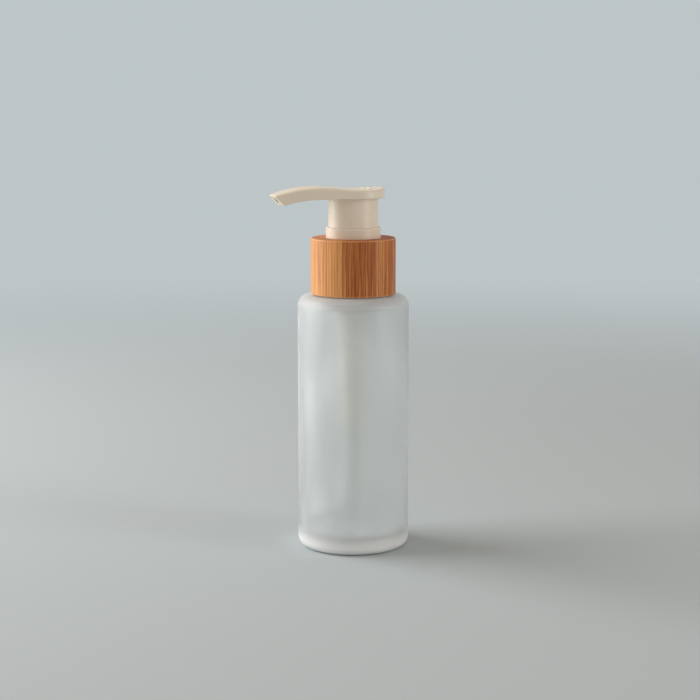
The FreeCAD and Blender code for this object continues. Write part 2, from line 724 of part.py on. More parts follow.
PIECES = (
    bottle,
    neck_gasket,
    pump_housing,
    lock_sleeve,
    screw_closure,
    bamboo_sleeve,
    actuator_head,
    main_post,
    valve_rod,
    piston,
    return_spring,
    inlet_ball,
    dip_tube,
)


def main():
    """Build every piece, say whether it is one closed solid, and write it to its file."""
    os.makedirs("parts", exist_ok=True)
    for piece in PIECES:
        shape = piece()
        solids = shape.Solids
        print(piece.__name__, len(solids), shape.isValid(), round(shape.Volume, 1))
        solids[0].exportStep("parts/" + piece.__name__ + ".step")


main()
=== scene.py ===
"""Pump oil bottle: frosted glass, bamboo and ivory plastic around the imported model.

Metres, +Z up. The bottle stands on Z = 0 around the Z axis, and its spout points along -X.
"""
import math

import bpy
import numpy as np
from bpy.props import FloatProperty, FloatVectorProperty, IntProperty, PointerProperty
from bpy.types import Operator, Panel, PropertyGroup
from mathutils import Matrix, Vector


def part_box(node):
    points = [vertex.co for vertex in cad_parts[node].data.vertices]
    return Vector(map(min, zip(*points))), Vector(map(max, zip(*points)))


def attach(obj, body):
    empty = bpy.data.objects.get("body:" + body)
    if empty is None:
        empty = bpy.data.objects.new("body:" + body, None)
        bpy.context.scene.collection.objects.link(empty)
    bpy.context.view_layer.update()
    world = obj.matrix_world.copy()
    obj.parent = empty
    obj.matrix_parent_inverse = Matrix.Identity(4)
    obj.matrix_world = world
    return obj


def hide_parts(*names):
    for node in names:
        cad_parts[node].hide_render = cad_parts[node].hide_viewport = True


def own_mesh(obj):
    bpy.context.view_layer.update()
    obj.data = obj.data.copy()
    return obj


bl_info = {
    "name": "Pump oil bottle",
    "version": (1, 0, 0),
    "blender": (4, 5, 0),
    "location": "View3D > Sidebar > Oil bottle",
    "description": "Dresses the pump oil bottle and sets its stage",
    "category": "Object",
}

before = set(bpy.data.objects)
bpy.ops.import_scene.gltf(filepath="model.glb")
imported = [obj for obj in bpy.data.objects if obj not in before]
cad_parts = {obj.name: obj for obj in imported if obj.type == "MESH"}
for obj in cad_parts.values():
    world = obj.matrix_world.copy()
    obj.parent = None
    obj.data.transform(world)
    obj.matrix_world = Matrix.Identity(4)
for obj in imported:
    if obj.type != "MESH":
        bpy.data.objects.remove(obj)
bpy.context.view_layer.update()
BOTTLE_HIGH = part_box("bottle")[1]
BAMBOO_LOW, BAMBOO_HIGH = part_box("bamboo_sleeve")
SPRING_LOW, SPRING_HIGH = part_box("return_spring")

# Range that most of a noise lies in
NOISE_LOW = 0.3
NOISE_HIGH = 0.7

# Etched outside of the glass
GLASS_IOR = 1.5
ETCH_CLOUD = 0.016
ETCH_SHADE = 0.97
FROSTING_SPAN = 0.05
TOOTH_SIZE = 0.00022
TOOTH_STRENGTH = 0.25
TOOTH_DEPTH = 0.00004
PATCH_SIZE = 0.011
PATCH_STRETCH = (1.0, 1.0, 2.6)
PATCH_BAND = (0.32, 0.68)
VEIL_SPAN = 0.14

# Milky base and shoulder, by height from the top of the glass floor and from the shoulder
BASE_FULL_BELOW = 0.003
BASE_END_ABOVE = 0.0055
BASE_SUBSURFACE = 0.5
SHOULDER_START_BELOW = 0.006
SHOULDER_FULL_BELOW = 0.001

# Smooth inside of the glass
WAVE_SIZE = 0.011
WAVE_STRENGTH = 0.2
WAVE_DEPTH = 0.0004
PRESSED_ROUGHNESS = (0.03, 0.08)
INNER_FLOOR_ROUGHNESS = 0.5
INNER_FULL_ABOVE = 0.0005
INNER_END_ABOVE = 0.004

# Bamboo fibres: widths as multiples of the fibre's width, bands of their noises, and weights
BUNDLE_WIDTH = 3.4
HAIR_WIDTH = 0.7
FIBRE_STRETCH = (1.0, 1.0, 80.0)
HAIR_STRETCH = (1.0, 1.0, 34.0)
DENSER_ACROSS = 0.14
DENSER_BY_TONE = 0.3
DENSITY_OFFSET = 0.22
STREAK_BAND = (0.46, 0.57)
STREAK_DENSITY = 0.3
STREAK_WEIGHT = 0.36
STREAK_BY_TONE = 0.18
BUNDLE_BAND = (0.34, 0.66)
BUNDLE_WEIGHT = 0.6
BUNDLE_OFFSET = 0.2
HAIR_BAND = (0.5, 0.6)
HAIR_DENSITY = 0.2
HAIR_WEIGHT = 0.12
HAIR_BY_TONE = 0.2

# Bamboo glue lines, ends, edges (paler: partly sanded wear, partly a painted highlight) and lacquer
GLUE_BAND = (0.478, 0.496)
GLUE_WEIGHT = 0.5
END_GRAIN_BAND = (0.00003, 0.00015)
END_GRAIN_WEIGHT = 0.2
END_GRAIN_ROUGHNESS = 0.1
DOT_BAND = (0.45, 0.62)
DOT_WEIGHT = 0.45
# Band and streak break-up of the pale rim: partly sanded wear, partly a painted highlight
RIM_WEAR_AND_HIGHLIGHT_BAND = (0.00025, 0.0007)
RIM_WEAR_AND_HIGHLIGHT_STREAK = 0.5
WORN_COAT = 0.5
COAT_ROUGHNESS = 0.28
BAMBOO_ROUGHNESS = (0.46, 0.6)
BAMBOO_SPECULAR = 0.3
FINE_RELIEF = 0.6
HAIR_RELIEF = 0.4
FIBRE_STRENGTH = 0.35
FIBRE_DEPTH = 0.00012

# Moulded plastic
PLASTIC_IOR = 1.49
PLASTIC_CLOUD = 0.007
PLASTIC_SHADE = 0.965
SKIN_SIZE = 0.0006
SKIN_STRENGTH = 0.2
SKIN_DEPTH = 0.00003
SMOOTHER = 0.04
ROUGHER = 0.05

# Milky tube
TUBE_IOR = 1.5
TUBE_CLOUD = 0.005
TUBE_SHADE = 0.95
TUBE_ROUGHNESS = (0.3, 0.42)

# Spring wire
MARK_SIZE = 0.0002
MARK_STRETCH = (6.0, 6.0, 1.0)
MARK_STRENGTH = 0.2
MARK_DEPTH = 0.00002
WIRE_SHADE = 0.8
WIRE_ROUGHNESS = (0.2, 0.38)
WIRE_STEPS = 48
WIRE_SIDES = 14
END_TURNS = 2
EASE_START = 0.5

# Outline of the glass, with the longest steps between its points
EDGE_ROUND = 0.0006
CHAMBER_SHOULDER_ROUND = 0.0024
CHAMBER_BASE_ROUND = 0.003
PUSH_UP_SLOPE = 0.002
POLE_RADIUS = 0.0003
ARC_POINTS = 13
COARSE_STEP = 0.004
LOOSE_STEP = 0.003
MIDDLE_STEP = 0.002
CLOSE_STEP = 0.001
THREAD_STEP = 0.0001
SAME_RADIUS = 1e-6

# Thread on the neck: half its width at the neck, the width of a flank, and the angle of each faded end
THREAD_HALF = 0.00091
THREAD_FLANK = 0.00041
THREAD_FADE = 0.3

# Pad of the head, and the arrow on it by angle about the stem
PAD_REACH = 0.0105
PAD_DEPTH = 0.004
PAD_CELL = 0.0007
PAD_SKIN = 0.00004
PAD_DEGREE = 4
ARROW_SECTION = ((-1.0, -0.4), (-1.0, 0.6), (-0.75, 1.0), (0.75, 1.0), (1.0, 0.6), (1.0, -0.4))
ARROW_TAIL = -0.95
ARROW_NECK = 0.45
ARROW_BARB = 0.4501
ARROW_POINT = 0.80
SHAFT_ROWS = 60
TIP_ROWS = 20
BARB_WIDTH = 2.3
POINT_WIDTH = 0.06

# Stage: lamps by their way to the right, to the front and up, as the camera sees them
KEY_PLACE = (-0.78, -0.17, 0.42)
KEY_SIZE = (0.8, 1.0)
FILL_PLACE = (0.8, 0.35, 0.25)
FILL_SIZE = (0.3, 0.8)
AIM_HEIGHT = 0.075
GROUND_RADIUS = 6.0
GROUND_SIDES = 96
GROUND_FADE = (0.12, 1.0)
GROUND_ROUGHNESS = 0.6
PICTURE_WIDTH = 700
SENSOR_WIDTH = 36.0


def length(name, description, default):
    """A length in metres for a property group."""
    return FloatProperty(name=name, description=description, default=default, unit="LENGTH", precision=5)


def angle_of(name, description, degrees):
    """An angle for a property group, given in degrees."""
    return FloatProperty(
        name=name, description=description, default=math.radians(degrees), subtype="ANGLE")


def colour(name, description, default):
    """A linear colour for a property group."""
    return FloatVectorProperty(
        name=name, description=description, default=default, subtype="COLOR", size=3, min=0.0, max=1.0)


def share(name, description, default):
    """A number from 0 to 1 for a property group."""
    return FloatProperty(
        name=name, description=description, default=default, min=0.0, max=1.0, subtype="FACTOR")


def power(name, description, default):
    """A lamp's power in watts for a property group."""
    return FloatProperty(name=name, description=description, default=default, min=0.0, unit="POWER")


class GlassSettings(PropertyGroup):
    """Sizes and finish of the frosted glass bottle."""
    body_radius: length("Body radius", "Outer radius of the straight wall", BOTTLE_HIGH.x)
    body_height: length("Body height", "Height of the flat shoulder", 0.101)
    mouth_height: length("Mouth height", "Height of the mouth of the neck", BOTTLE_HIGH.z)
    wall: length("Wall", "Thickness of the straight wall", 0.0024)
    floor: length("Floor", "Thickness of the glass floor", 0.0056)
    shoulder: length("Shoulder", "Thickness of the glass at the shoulder", 0.0032)
    base_round: length("Base round", "Radius of the outer edge at the base", 0.0034)
    shoulder_round: length("Shoulder round", "Radius of the outer edge at the shoulder", 0.0044)
    foot_width: length("Foot width", "Width of the ring that the bottle stands on", 0.0046)
    push_up: length("Push-up", "Depth of the hollow under the base", 0.0008)
    neck_radius: length("Neck radius", "Outer radius of the neck without its thread", 0.01065)
    neck_bore: length("Neck bore", "Radius of the hole in the neck", 0.0078)
    thread_height: length("Thread height", "How far the thread stands out of the neck", 0.0012)
    thread_pitch: length("Thread pitch", "Rise of the thread in one turn", 0.003175)
    thread_drop: length("Thread drop", "Depth of the thread's end below the mouth", 0.0026)
    segments: IntProperty(
        name="Segments", description="Faces around the bottle", default=192, min=48, max=512)
    tint: colour("Tint", "Colour of the glass", (0.965, 0.98, 0.975))
    frosting: share("Frosting", "Roughness of the etched outside", 0.34)
    clearness: share("Clearness", "Share of the light that goes through the etched skin", 0.8)
    veil: share("Veil", "Share of the etched skin that spreads the light from behind it", 0.26)
    base_milk: share("Base milk", "How much milkier the glass is around its thick floor", 1.0)
    base_veil: share("Base veil", "Share of the milky base that spreads the light from behind it", 0.06)
    floor_milk: share("Floor milk", "How milky the thick floor looks from inside", 1.0)
    shoulder_milk: share("Shoulder milk", "How much milkier the glass is around its thick shoulder", 0.35)
    base_clearness: share("Base clearness", "Share of the light that goes through the milky base", 0.02)
    base_spread: length("Base spread", "How far the light spreads inside the milky base", 0.007)


class BambooSettings(PropertyGroup):
    """Colours and grain of the bamboo sleeve."""
    pale: colour("Pale tissue", "Colour of the soft tissue between the fibres", (0.82, 0.375, 0.125))
    warm: colour("Warm tissue", "Main colour of a strip", (0.56, 0.18, 0.036))
    dark: colour("Dark fibre", "Colour of the dense fibre bundles", (0.245, 0.044, 0.010))
    strip: length("Strip thickness", "Thickness of one glued strip", 0.0063)
    strip_start: length("Strip start", "Place of one glue line across the sleeve", 0.0085)
    strip_turn: angle_of("Strip direction", "Direction across the strips", -20)
    strip_choice: FloatProperty(name="Strip choice", description="Picks the strips' tones", default=86.43)
    fibre: length("Fibre width", "Width of one fibre streak", 0.0004)
    lacquer: share("Lacquer", "Weight of the clear lacquer", 0.05)
    # Paleness of the rim band: partly sanded wear, partly a painted highlight
    wear_and_highlight: share("Wear", "How pale the sanded edges are", 0.7)


class PlasticSettings(PropertyGroup):
    """Colours of the moulded pieces and sizes of the raised arrow on the pad."""
    ivory: colour("Ivory", "Colour of the head and the ring", (0.865, 0.745, 0.60))
    natural: colour("Natural", "Colour of the pump cylinder and the rod", (0.97, 0.91, 0.80))
    white: colour("White", "Colour of the closure, the stem and the piston", (0.80, 0.79, 0.755))
    tube: colour("Tube", "Colour of the dip tube", (0.97, 0.965, 0.94))
    gasket: colour("Gasket", "Colour of the gasket", (0.62, 0.62, 0.60))
    ball: colour("Ball", "Tint of the glass ball", (0.90, 0.95, 0.94))
    arrow_radius: length("Arrow radius", "Radius of the arrow's arc about the stem", 0.0068)
    arrow_width: length("Arrow width", "Width of the arrow's shaft", 0.0009)
    arrow_height: length("Arrow height", "How far the arrow stands out of the pad", 0.00022)


class SpringSettings(PropertyGroup):
    """Sizes of the return spring and how far it is pressed together."""
    coil_radius: length("Coil radius", "Radius of the coil at the middle of its wire", 0.0037)
    wire: length("Wire", "Diameter of the wire", 0.0008)
    turns: IntProperty(
        name="Turns", description="Open turns between the two close end turns", default=9, min=1)
    end_pitch: length("End pitch", "Rise of each close end turn", 0.0014)
    travel: length("Travel", "How far the spring is pressed together", 0.0108)
    steel: colour("Steel", "Colour of the wire", (0.60, 0.60, 0.61))


class StageSettings(PropertyGroup):
    """Floor, light and camera."""
    ground: colour("Floor", "Colour of the floor and of the air behind it", (0.51, 0.56, 0.575))
    key: power("Key light", "Power of the large light at the left", 9.9)
    fill: power("Fill light", "Power of the light at the right", 2.4)
    ambient: colour("Ambient light", "Colour of the light from all around", (0.425, 0.378, 0.332))
    turn: angle_of("Turn", "Camera's direction around the bottle", -20)
    tilt: angle_of("Tilt", "Camera's downward tilt", 8.93)
    distance: length("Distance", "Camera's level distance from the bottle's axis", 0.6564)
    height: length("Height", "Camera's height above the floor", 0.1816)
    aside: length("Aside", "Camera's sideways place", -0.0011)
    lens: FloatProperty(name="Lens", description="Focal length in millimetres", default=86.05, min=1.0)


class BottleSettings(PropertyGroup):
    """All settings of the pump oil bottle."""
    glass: PointerProperty(type=GlassSettings)
    bamboo: PointerProperty(type=BambooSettings)
    plastic: PointerProperty(type=PlasticSettings)
    spring: PointerProperty(type=SpringSettings)
    stage: PointerProperty(type=StageSettings)


class Signal:
    """An output socket of a shader tree; arithmetic on it adds Math nodes."""

    def __init__(self, paint, socket):
        self.paint = paint
        self.socket = socket

    def math(self, operation, other=0.0):
        """One Math node on this signal and another signal or number."""
        return self.paint.node("ShaderNodeMath", {"operation": operation}, {0: self, 1: other})

    def math_after(self, operation, other):
        """One Math node on a number and this signal, in that order."""
        return self.paint.node("ShaderNodeMath", {"operation": operation}, {0: other, 1: self})

    def __add__(self, other):
        return self.math("ADD", other)

    def __sub__(self, other):
        return self.math("SUBTRACT", other)

    def __mul__(self, other):
        return self.math("MULTIPLY", other)

    def __truediv__(self, other):
        return self.math("DIVIDE", other)

    def __rsub__(self, other):
        return self.math_after("SUBTRACT", other)

    def __rtruediv__(self, other):
        return self.math_after("DIVIDE", other)

    __radd__ = __add__
    __rmul__ = __mul__


class Paint:
    """A shader tree that is filled through node()."""

    def __init__(self, tree):
        self.tree = tree
        tree.nodes.clear()

    def node(self, kind, settings=None, sockets=None, output=0):
        """A node of a kind, with its settings, and its sockets set to values or linked to signals."""
        made = self.tree.nodes.new(kind)
        for key, value in (settings or {}).items():
            setattr(made, key, value)
        for key, value in (sockets or {}).items():
            if isinstance(value, Signal):
                self.tree.links.new(value.socket, made.inputs[key])
            else:
                made.inputs[key].default_value = value
        return Signal(self, made.outputs[output]) if made.outputs else None

    def place(self):
        """The surface point in the object's own coordinates, in metres."""
        return self.node("ShaderNodeTexCoord", output="Object")

    def axes(self, vector):
        """The three parts of a vector signal."""
        first = self.node("ShaderNodeSeparateXYZ", None, {0: vector})
        return [Signal(self, output) for output in first.socket.node.outputs]

    def grain(self, size, stretch=(1.0, 1.0, 1.0), detail=2.0, shift=0.0):
        """Noise around 0.5 with features of about a size in metres, drawn out along the axes by stretch.

        Two noises with different shifts don't follow each other.
        """
        where = self.node("ShaderNodeMapping", None, {
            "Vector": self.place(),
            "Location": (shift, shift, shift),
            "Scale": [1.0 / (size * value) for value in stretch],
        })
        return self.node("ShaderNodeTexNoise", None, {"Vector": where, "Scale": 1.0, "Detail": detail})

    def between(self, signal, low, high, new_low=0.0, new_high=1.0):
        """A signal carried smoothly from new_low to new_high while it goes from low to high."""
        return self.node("ShaderNodeMapRange", {"interpolation_type": "SMOOTHSTEP"}, {
            "Value": signal, "From Min": low, "From Max": high, "To Min": new_low, "To Max": new_high})

    def varied(self, noise, low=0.0, high=1.0):
        """A noise carried smoothly from low to high over the range that most of it lies in."""
        return self.between(noise, NOISE_LOW, NOISE_HIGH, low, high)

    def mixed(self, amount, first, second):
        """Two colours mixed by an amount from 0 to 1."""
        return self.node("ShaderNodeMix", {"data_type": "RGBA"}, {
            0: amount, 6: four(first), 7: four(second)}, output=2)

    def relief(self, height, strength, depth):
        """A normal bumped by a height signal, with its depth in metres."""
        return self.node(
            "ShaderNodeBump", None, {"Strength": strength, "Distance": depth, "Height": height})

    def shader(self, sockets):
        """The Principled shader with its sockets."""
        return self.node("ShaderNodeBsdfPrincipled", None, sockets)

    def spreading(self, tint):
        """The shader that spreads the light from behind a surface."""
        return self.node("ShaderNodeBsdfTranslucent", None, {"Color": four(tint)})

    def blended(self, amount, first, second):
        """Two shaders mixed by an amount from 0 to 1."""
        return self.node("ShaderNodeMixShader", None, {0: amount, 1: first, 2: second})

    def show(self, shader):
        """Join a shader to the material's output."""
        self.node("ShaderNodeOutputMaterial", None, {"Surface": shader})


def four(value):
    """A colour as four numbers; a signal stays as it is."""
    return value if isinstance(value, Signal) else (*value, 1.0)


def darker(tone, amount):
    """A colour times an amount below 1."""
    return [amount * part for part in tone]


def painted(name):
    """A new material and the paint that fills its tree."""
    material = bpy.data.materials.new(name)
    material.use_nodes = True
    return material, Paint(material.node_tree)


def frosted_glass(settings):
    """Acid-etched glass: rough, with a fine even tooth and faint clouds.

    A share of the wall, which drifts in tall patches, spreads the light from behind. Around the thick floor,
    and in part around the thick shoulder, a milky shader with light spreading inside it takes over.
    """
    material, paint = painted("frosted_glass")
    cloud = paint.grain(ETCH_CLOUD, detail=3.0)
    tooth = paint.grain(TOOTH_SIZE, detail=1.0)
    look = {
        "Base Color": paint.mixed(cloud, darker(settings.tint, ETCH_SHADE), settings.tint),
        "Roughness": paint.varied(
            cloud, settings.frosting - FROSTING_SPAN, settings.frosting + FROSTING_SPAN),
        "IOR": GLASS_IOR,
        "Normal": paint.relief(tooth, TOOTH_STRENGTH, TOOTH_DEPTH),
    }
    clear = paint.shader({**look, "Transmission Weight": settings.clearness})
    solid = paint.shader({
        **look,
        "Transmission Weight": settings.base_clearness,
        "Subsurface Weight": BASE_SUBSURFACE,
        "Subsurface Radius": (1.0, 1.0, 1.0),
        "Subsurface Scale": settings.base_spread,
    })
    veil = paint.spreading(settings.tint)
    height = paint.axes(paint.place())[2]
    low = paint.between(
        height, settings.floor - BASE_FULL_BELOW, settings.floor + BASE_END_ABOVE, settings.base_milk, 0.0)
    high = paint.between(
        height, settings.body_height - SHOULDER_START_BELOW, settings.body_height - SHOULDER_FULL_BELOW,
        0.0, settings.shoulder_milk)
    drift = paint.grain(PATCH_SIZE, PATCH_STRETCH, shift=2.0)
    patch = paint.between(drift, *PATCH_BAND, settings.veil - VEIL_SPAN, settings.veil + VEIL_SPAN)
    wall = paint.blended(patch, clear, veil)
    milk = paint.blended(settings.base_veil, solid, veil)
    paint.show(paint.blended(low + high, wall, milk))
    return material


def pressed(paint, tint):
    """Sockets of smooth pressed glass with a slow waviness."""
    wave = paint.grain(WAVE_SIZE, detail=1.0)
    return {
        "Base Color": four(tint),
        "Roughness": paint.varied(wave, *PRESSED_ROUGHNESS),
        "IOR": GLASS_IOR,
        "Normal": paint.relief(wave, WAVE_STRENGTH, WAVE_DEPTH),
    }


def ball_glass(tint):
    """Clear pressed glass of the inlet ball."""
    material, paint = painted("ball_glass")
    paint.show(paint.shader({**pressed(paint, tint), "Transmission Weight": 1.0}))
    return material


def inner_glass(settings):
    """Smooth inside of the bottle, milky over the thick floor, which gathers the light."""
    material, paint = painted("clear_inside")
    look = pressed(paint, settings.tint)
    clear = paint.shader({**look, "Transmission Weight": 1.0})
    solid = paint.shader({
        **look, "Roughness": INNER_FLOOR_ROUGHNESS, "Transmission Weight": settings.base_clearness})
    height = paint.axes(paint.place())[2]
    low = paint.between(
        height, settings.floor + INNER_FULL_ABOVE, settings.floor + INNER_END_ABOVE,
        settings.floor_milk, 0.0)
    paint.show(paint.blended(low, clear, solid))
    return material


def bamboo(settings):
    """Glued bamboo strips, turned and lacquered.

    Across the strips, u = x cos a + y sin a. The strip's number is floor((u - start) / thickness), and each
    strip has its own tone. Inside a strip the fibres get denser from one side to the other. Fibres are noise
    that is drawn out along Z, so the sides show streaks and the ends show dots. The rounded edges, a little
    way in from each end, are paler: partly sanded wear, partly a painted highlight on the rim.
    """
    material, paint = painted("bamboo")
    x, y, z = paint.axes(paint.place())
    across = x * math.cos(settings.strip_turn) + y * math.sin(settings.strip_turn)
    count = (across - settings.strip_start) / settings.strip
    number = count.math("FLOOR")
    inside = count - number
    tone = paint.node(
        "ShaderNodeTexWhiteNoise", {"noise_dimensions": "1D"}, {"W": number + settings.strip_choice})
    thick = paint.grain(settings.fibre * BUNDLE_WIDTH, FIBRE_STRETCH)
    fine = paint.grain(settings.fibre, FIBRE_STRETCH, shift=7.0)
    hair = paint.grain(settings.fibre * HAIR_WIDTH, HAIR_STRETCH, detail=1.0, shift=3.0)

    dense = inside * DENSER_ACROSS + tone * DENSER_BY_TONE - DENSITY_OFFSET
    streak = paint.between(fine + dense * STREAK_DENSITY, *STREAK_BAND)
    bundle = paint.between(thick * BUNDLE_WEIGHT + dense + BUNDLE_OFFSET, *BUNDLE_BAND)
    thread = paint.between(hair + dense * HAIR_DENSITY, *HAIR_BAND)
    darkness = (
        streak * (STREAK_WEIGHT + tone * STREAK_BY_TONE) + thread * (HAIR_WEIGHT + tone * HAIR_BY_TONE))
    ground = paint.mixed(bundle, settings.pale, settings.warm)
    fibred = paint.mixed(darkness, ground, settings.dark)
    seam = paint.between((inside - 0.5).math("ABSOLUTE"), *GLUE_BAND)
    glued = paint.mixed(seam * GLUE_WEIGHT, fibred, settings.dark)

    inward = (z - BAMBOO_LOW.z).math("MINIMUM", BAMBOO_HIGH.z - z)
    end_grain = paint.between(inward, *END_GRAIN_BAND, 1.0, 0.0)
    # Rim band near each end: paler partly from sanded wear, partly as a painted highlight; it also gets more
    # coat
    worn_and_highlit = paint.between(inward, *RIM_WEAR_AND_HIGHLIGHT_BAND, 1.0, 0.0) * (1.0 - end_grain)
    sanded_and_highlit = paint.mixed(worn_and_highlit * (1.0 - streak * RIM_WEAR_AND_HIGHLIGHT_STREAK) * settings.wear_and_highlight, glued, settings.pale)
    dots = paint.between(fine, *DOT_BAND)
    shaded = paint.mixed(end_grain * (dots * DOT_WEIGHT + END_GRAIN_WEIGHT), sanded_and_highlit, settings.dark)

    lines = fine * FINE_RELIEF + hair * HAIR_RELIEF
    paint.show(paint.shader({
        "Base Color": shaded,
        "Roughness": paint.varied(lines, *BAMBOO_ROUGHNESS) + end_grain * END_GRAIN_ROUGHNESS,
        "Specular IOR Level": BAMBOO_SPECULAR,
        "Coat Weight": worn_and_highlit * WORN_COAT + settings.lacquer,
        "Coat Roughness": COAT_ROUGHNESS,
        "Normal": paint.relief(lines, FIBRE_STRENGTH, FIBRE_DEPTH),
    }))
    return material


def moulded(name, tone, roughness):
    """Moulded plastic: a faint cloudiness in its colour and a fine even texture in its gloss."""
    material, paint = painted(name)
    cloud = paint.grain(PLASTIC_CLOUD, detail=3.0)
    skin = paint.grain(SKIN_SIZE, shift=5.0)
    paint.show(paint.shader({
        "Base Color": paint.mixed(paint.varied(cloud), darker(tone, PLASTIC_SHADE), tone),
        "Roughness": paint.varied(skin, roughness - SMOOTHER, roughness + ROUGHER),
        "IOR": PLASTIC_IOR,
        "Normal": paint.relief(skin, SKIN_STRENGTH, SKIN_DEPTH),
    }))
    return material


def milky(name, tone, veil):
    """Unpigmented plastic: slightly cloudy, with a share of it spreading the light from behind."""
    material, paint = painted(name)
    cloud = paint.grain(TUBE_CLOUD)
    solid = paint.shader({
        "Base Color": paint.mixed(cloud, darker(tone, TUBE_SHADE), tone),
        "Roughness": paint.varied(cloud, *TUBE_ROUGHNESS),
        "IOR": TUBE_IOR,
    })
    paint.show(paint.blended(veil, solid, paint.spreading(tone)))
    return material


def drawn_wire(tone):
    """Stainless spring wire with fine drawing marks."""
    material, paint = painted("spring_steel")
    marks = paint.grain(MARK_SIZE, MARK_STRETCH)
    paint.show(paint.shader({
        "Base Color": paint.mixed(marks, darker(tone, WIRE_SHADE), tone),
        "Metallic": 1.0,
        "Roughness": paint.varied(marks, *WIRE_ROUGHNESS),
        "Normal": paint.relief(marks, MARK_STRENGTH, MARK_DEPTH),
    }))
    return material


def rounded(corners):
    """Points along an open outline of (radius, height, round, step) corners.

    A corner with a round becomes a circular arc that touches both of its legs: the arc starts
    round / tan(half) from the corner, where half is half the angle between the legs. The run after a corner
    is divided evenly into parts no longer than its step.
    """
    spots = np.array([corner[:2] for corner in corners])
    pieces = []
    steps = []
    for i, (bend, step) in enumerate(corner[2:] for corner in corners):
        piece = spots[i:i + 1]
        if bend > 0.0:
            legs = spots[[i - 1, i + 1]] - spots[i]
            legs = legs / np.linalg.norm(legs, axis=1, keepdims=True)
            half = np.arccos(np.clip(legs[0] @ legs[1], -1, 1)) / 2
            middle = legs.sum(axis=0)
            centre = spots[i] + middle / np.linalg.norm(middle) * bend / np.sin(half)
            ends = spots[i] + legs * bend / np.tan(half) - centre
            first, last = np.arctan2(ends[:, 1], ends[:, 0])
            sweep = (last - first + np.pi) % (2 * np.pi) - np.pi
            angles = first + sweep * np.linspace(0, 1, ARC_POINTS)
            piece = centre + bend * np.stack([np.cos(angles), np.sin(angles)], axis=1)
        pieces.append(piece)
        steps.append(np.full(len(piece), step))
    line = np.concatenate(pieces)
    lengths = np.linalg.norm(np.diff(line, axis=0), axis=1)
    parts = np.maximum(1, np.ceil(lengths / np.concatenate(steps)[:-1])).astype(int)
    run = np.repeat(np.arange(len(parts)), parts)
    along = (np.arange(len(run)) - np.repeat(np.cumsum(parts) - parts, parts)) / parts[run]
    return np.concatenate([line[run] + (line[run + 1] - line[run]) * along[:, None], line[-1:]])


def closed_grid(name, grid):
    """Mesh object of a grid of points that goes right round, with each end row drawn to its middle."""
    rows, columns = grid.shape[:2]
    points = np.concatenate([grid.reshape(-1, 3), grid[[0, -1]].mean(axis=1)])
    row, column = np.meshgrid(np.arange(rows - 1), np.arange(columns), indexing="ij")
    here = row * columns + column
    beside = row * columns + (column + 1) % columns
    quads = np.stack([here, beside, beside + columns, here + columns], axis=-1)
    spot = np.arange(columns)
    turn = (spot + 1) % columns
    last = (rows - 1) * columns
    first_fan = np.stack([np.full(columns, rows * columns), turn, spot], axis=-1)
    last_fan = np.stack([last + spot, last + turn, np.full(columns, rows * columns + 1)], axis=-1)
    mesh = bpy.data.meshes.new(name)
    mesh.from_pydata(points, [], quads.reshape(-1, 4).tolist() + first_fan.tolist() + last_fan.tolist())
    mesh.shade_smooth()
    made = bpy.data.objects.new(name, mesh)
    bpy.context.scene.collection.objects.link(made)
    return made


def smooth(value):
    """Smooth step from 0 to 1: 3 t^2 - 2 t^3 with t held between 0 and 1."""
    held = np.clip(value, 0, 1)
    return held * held * (3 - 2 * held)


def bottle_surface(size):
    """Points of the glass, as rows along its outline and columns around it, and the number of outer rows.

    The radius comes from the outline. On the neck the thread adds its height times a trapezoid of the
    distance from the helix z = low + pitch * angle / (2 pi), faded in and out at its two ends.
    """
    chamber = size.body_radius - size.wall
    foot = size.body_radius - size.base_round - size.foot_width
    under = size.body_height - size.shoulder
    outer = [
        (POLE_RADIUS, size.push_up, 0.0, LOOSE_STEP),
        (foot - PUSH_UP_SLOPE, size.push_up, EDGE_ROUND, CLOSE_STEP),
        (foot, 0.0, EDGE_ROUND, MIDDLE_STEP),
        (size.body_radius, 0.0, size.base_round, COARSE_STEP),
        (size.body_radius, size.body_height, size.shoulder_round, MIDDLE_STEP),
        (size.neck_radius, size.body_height, EDGE_ROUND, THREAD_STEP),
        (size.neck_radius, size.mouth_height, EDGE_ROUND, CLOSE_STEP),
    ]
    inner = [
        (size.neck_bore, size.mouth_height, EDGE_ROUND, MIDDLE_STEP),
        (size.neck_bore, under, EDGE_ROUND, MIDDLE_STEP),
        (chamber, under, CHAMBER_SHOULDER_ROUND, COARSE_STEP),
        (chamber, size.floor, CHAMBER_BASE_ROUND, MIDDLE_STEP),
        (POLE_RADIUS, size.floor, 0.0, CLOSE_STEP),
    ]
    outline = rounded(outer + inner)
    radius, height = outline[:, :1], outline[:, 1:]
    angle = np.linspace(0, 2 * np.pi, size.segments, endpoint=False)[None, :]
    low = size.mouth_height - size.thread_drop - size.thread_pitch
    from_helix = np.abs(height - low - size.thread_pitch * angle / (2 * np.pi))
    ridge = np.clip((THREAD_HALF - from_helix) / THREAD_FLANK, 0, 1)
    ridge = ridge * smooth(angle / THREAD_FADE) * smooth((2 * np.pi - angle) / THREAD_FADE)
    on_neck = np.abs(radius - size.neck_radius) < SAME_RADIUS
    radius = radius + size.thread_height * ridge * on_neck
    grid = np.stack(np.broadcast_arrays(radius * np.cos(angle), radius * np.sin(angle), height), axis=-1)
    return grid, int(np.argmax(outline[:, 1]))


